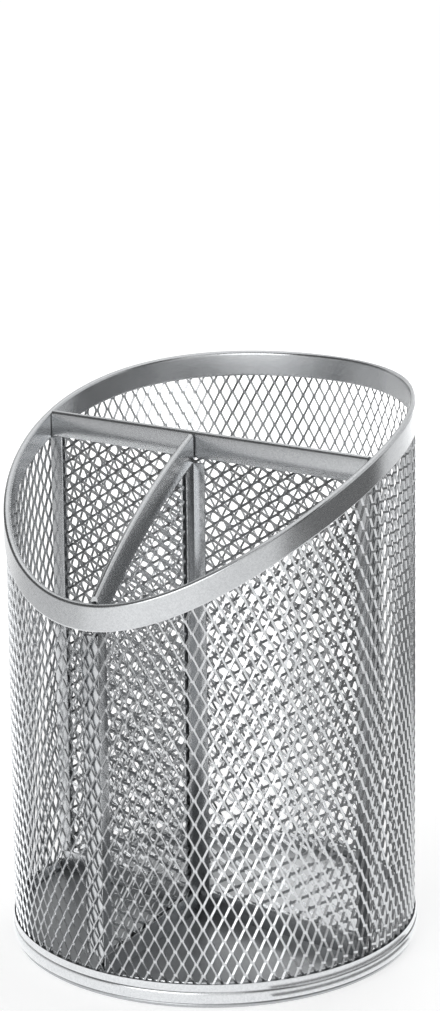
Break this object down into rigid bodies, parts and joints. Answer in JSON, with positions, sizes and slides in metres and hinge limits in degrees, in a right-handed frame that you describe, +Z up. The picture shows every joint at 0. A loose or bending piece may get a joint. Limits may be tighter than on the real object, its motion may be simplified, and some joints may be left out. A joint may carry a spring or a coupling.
{
  "type": "mesh pen cup",
  "caption": "Round pen cup of expanded metal with an arched slanting rim, a solid floor and crossed mesh dividers that make three compartments.",
  "frame": {"origin": "centre of the foot, on the table", "axes": "+Z up, X along the long divider, -Y towards the low front of the rim, +Y towards its high back"},
  "size_m": [0.1106, 0.1106, 0.15],
  "materials": {
    "mesh": "satin silver powder coat on expanded steel",
    "strip": "satin silver powder coat on folded steel strip",
    "floor": "satin silver powder coat on pressed steel sheet"
  },
  "bodies": {
    "root": {"wall_mesh": "mesh", "rim_band": "strip", "base_ring": "strip", "floor_pan": "floor", "long_mesh": "mesh", "long_cap": "strip", "long_rail": "strip", "long_left_post": "strip", "long_right_post": "strip", "short_mesh": "mesh", "short_cap": "strip", "short_rail": "strip", "short_wall_post": "strip", "short_inner_post": "strip"}
  },
  "joints": []
}
